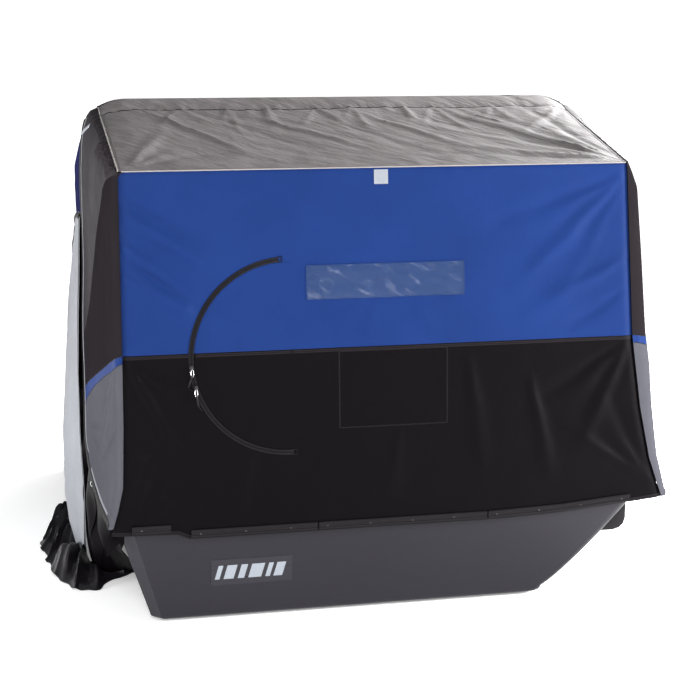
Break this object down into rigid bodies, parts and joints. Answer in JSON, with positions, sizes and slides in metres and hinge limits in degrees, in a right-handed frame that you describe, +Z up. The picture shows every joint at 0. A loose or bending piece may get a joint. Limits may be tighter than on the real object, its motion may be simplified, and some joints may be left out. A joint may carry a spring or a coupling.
{
  "type": "ice fishing shelter",
  "caption": "Flip-over ice fishing shelter: a cloth tent on folding tube bails, hinged to a moulded tow sled with swivel seats inside.",
  "frame": {"origin": "on the ice under the middle of the whole shelter's box", "axes": "+Z up; +X along the sled towards its bow; +Y from the sled towards the tent's front, so the back wall faces -Y"},
  "size_m": [2.304, 2.2581, 1.735],
  "materials": {
    "sled_plastic": "rotomoulded charcoal polyethylene, fine grain",
    "black_plastic": "extruded black plastic",
    "black_steel": "black powder coat",
    "bright_steel": "zinc plated",
    "alloy_tube": "drawn tube",
    "blue_cloth": "coated pack cloth, royal blue",
    "black_cloth": "coated pack cloth, black",
    "grey_cloth": "coated pack cloth, warm grey",
    "light_grey_cloth": "coated pack cloth, light grey",
    "clear_vinyl": "clear window vinyl",
    "seat_cover": "padded seat cover"
  },
  "bodies": {
    "sled": {"sled_hull": "sled_plastic", "wear_bar_near": "black_plastic", "wear_bar_far": "black_plastic", "tow_hitch_block": "black_plastic", "pivot_bracket_left": "black_steel", "pivot_bracket_right": "black_steel", "pivot_bolt_left": "bright_steel", "pivot_bolt_right": "bright_steel", "seat_rail_near": "black_steel", "seat_rail_far": "black_steel", "seat_base_left": "black_steel", "seat_base_right": "black_steel", "hem_rail_1": "black_plastic", "hem_rail_2": "black_plastic", "hem_rail_3": "black_plastic", "hem_rail_4": "black_plastic"},
    "rear_bail": {"rear_hoop": "alloy_tube", "rear_leg_left": "alloy_tube", "rear_leg_right": "alloy_tube", "back_wall": "blue_cloth", "back_window": "clear_vinyl", "zipper_tape": "black_cloth"},
    "middle_bail": {"middle_hoop": "alloy_tube", "middle_leg_left": "alloy_tube", "middle_leg_right": "alloy_tube", "roof": "grey_cloth", "side_rear_left": "black_cloth", "side_rear_right": "black_cloth"},
    "front_bail": {"front_hoop": "alloy_tube", "front_leg_left": "alloy_tube", "front_leg_right": "alloy_tube", "front_slope": "black_cloth", "side_top_left": "black_cloth", "side_top_right": "black_cloth"},
    "ground_bail": {"ground_hoop": "alloy_tube", "ground_leg_left": "alloy_tube", "ground_leg_right": "alloy_tube", "front_wall": "blue_cloth", "side_front_left": "light_grey_cloth", "side_front_right": "light_grey_cloth", "skirt_left": "black_cloth", "skirt_right": "black_cloth", "skirt_front": "black_cloth"},
    "back_flap": {"back_flap": "blue_cloth"},
    "slider_upper": {"slider_upper": "bright_steel"},
    "slider_lower": {"slider_lower": "bright_steel"},
    "side_door_left": {"side_door_left": "light_grey_cloth"},
    "side_door_right": {"side_door_right": "light_grey_cloth"},
    "seat_left": {"seat_cushion_left": "seat_cover"},
    "seat_right": {"seat_cushion_right": "seat_cover"},
    "seat_back_left": {"seat_back_left": "seat_cover"},
    "seat_back_right": {"seat_back_right": "seat_cover"},
    "rear_button_left": {"rear_button_left": "bright_steel"},
    "rear_button_right": {"rear_button_right": "bright_steel"},
    "middle_button_left": {"middle_button_left": "bright_steel"},
    "middle_button_right": {"middle_button_right": "bright_steel"},
    "front_button_left": {"front_button_left": "bright_steel"},
    "front_button_right": {"front_button_right": "bright_steel"},
    "ground_button_left": {"ground_button_left": "bright_steel"},
    "ground_button_right": {"ground_button_right": "bright_steel"}
  },
  "joints": [
    {"name": "rear_bail_fold", "type": "hinge", "parent": "sled", "child": "rear_bail", "pos_m": [0, -0.686, 0.4], "axis": [1, 0, 0], "range_deg": [0, 50], "deforming": ["back_wall"]},
    {"name": "middle_bail_fold", "type": "hinge", "parent": "rear_bail", "child": "middle_bail", "pos_m": [0, -0.686, 0.4], "axis": [1, 0, 0], "range_deg": [0, 28.2], "deforming": ["roof", "side_rear_left", "side_rear_right"]},
    {"name": "front_bail_fold", "type": "hinge", "parent": "middle_bail", "child": "front_bail", "pos_m": [0, -0.686, 0.4], "axis": [1, 0, 0], "range_deg": [0, 28.8], "deforming": ["front_slope", "side_top_left", "side_top_right", "side_door_left", "side_door_right"]},
    {"name": "ground_bail_fold", "type": "hinge", "parent": "front_bail", "child": "ground_bail", "pos_m": [0, -0.686, 0.4], "axis": [1, 0, 0], "range_deg": [0, 49.52], "deforming": ["front_wall", "side_front_left", "side_front_right", "skirt_left", "skirt_right", "skirt_front"]},
    {"name": "back_flap_open", "type": "hinge", "parent": "rear_bail", "child": "back_flap", "pos_m": [-0.307, -1.09888, 0.912], "axis": [0, 0.042, 0.9991], "range_deg": [0, 150]},
    {"name": "slider_upper_run", "type": "hinge", "parent": "rear_bail", "child": "slider_upper", "pos_m": [-0.319, -1.09888, 0.912], "axis": [0, -0.9991, 0.042], "range_deg": [-86, 0]},
    {"name": "slider_lower_run", "type": "hinge", "parent": "rear_bail", "child": "slider_lower", "pos_m": [-0.319, -1.09888, 0.912], "axis": [0, -0.9991, 0.042], "range_deg": [0, 70]},
    {"name": "side_door_left_open", "type": "hinge", "parent": "front_bail", "child": "side_door_left", "pos_m": [-1.04613, 0.194, 0.5], "axis": [0, 0, 1], "range_deg": [-100, 0]},
    {"name": "side_door_right_open", "type": "hinge", "parent": "front_bail", "child": "side_door_right", "pos_m": [1.04613, 0.194, 0.5], "axis": [0, 0, 1], "range_deg": [0, 100]},
    {"name": "seat_left_swivel", "type": "hinge", "parent": "sled", "child": "seat_left", "pos_m": [-0.4, -0.696, 0.4096], "axis": [0, 0, 1], "continuous": true},
    {"name": "seat_left_back_fold", "type": "hinge", "parent": "seat_left", "child": "seat_back_left", "pos_m": [-0.4, -0.884, 0.5016], "axis": [1, 0, 0], "range_deg": [-90, 0]},
    {"name": "seat_right_swivel", "type": "hinge", "parent": "sled", "child": "seat_right", "pos_m": [0.4, -0.696, 0.4096], "axis": [0, 0, 1], "continuous": true},
    {"name": "seat_right_back_fold", "type": "hinge", "parent": "seat_right", "child": "seat_back_right", "pos_m": [0.4, -0.884, 0.5016], "axis": [1, 0, 0], "range_deg": [-90, 0]},
    {"name": "rear_button_left_press", "type": "slide", "parent": "rear_bail", "child": "rear_button_left", "axis": [-0.9991, -0.0135, 0.0405], "range_m": [-0.0045, 0], "stiffness_N_per_m": 1500},
    {"name": "rear_button_right_press", "type": "slide", "parent": "rear_bail", "child": "rear_button_right", "axis": [0.9991, -0.0135, 0.0405], "range_m": [-0.0045, 0], "stiffness_N_per_m": 1500},
    {"name": "middle_button_left_press", "type": "slide", "parent": "middle_bail", "child": "middle_button_left", "axis": [-0.9996, 0.0067, 0.0259], "range_m": [-0.0045, 0], "stiffness_N_per_m": 1500},
    {"name": "middle_button_right_press", "type": "slide", "parent": "middle_bail", "child": "middle_button_right", "axis": [0.9996, 0.0067, 0.0259], "range_m": [-0.0045, 0], "stiffness_N_per_m": 1500},
    {"name": "front_button_left_press", "type": "slide", "parent": "front_bail", "child": "front_button_left", "axis": [-0.9999, 0.0083, 0.0073], "range_m": [-0.0045, 0], "stiffness_N_per_m": 1500},
    {"name": "front_button_right_press", "type": "slide", "parent": "front_bail", "child": "front_button_right", "axis": [0.9999, 0.0083, 0.0073], "range_m": [-0.0045, 0], "stiffness_N_per_m": 1500},
    {"name": "ground_button_left_press", "type": "slide", "parent": "ground_bail", "child": "ground_button_left", "axis": [-1, 0.002, -0.0005], "range_m": [-0.0045, 0], "stiffness_N_per_m": 1500},
    {"name": "ground_button_right_press", "type": "slide", "parent": "ground_bail", "child": "ground_button_right", "axis": [1, 0.002, -0.0005], "range_m": [-0.0045, 0], "stiffness_N_per_m": 1500}
  ],
  "couplings": [
    {"joint": "middle_bail_fold", "follows": "rear_bail_fold", "ratio": 0.564},
    {"joint": "front_bail_fold", "follows": "rear_bail_fold", "ratio": 0.576},
    {"joint": "ground_bail_fold", "follows": "rear_bail_fold", "ratio": 0.9904}
  ]
}
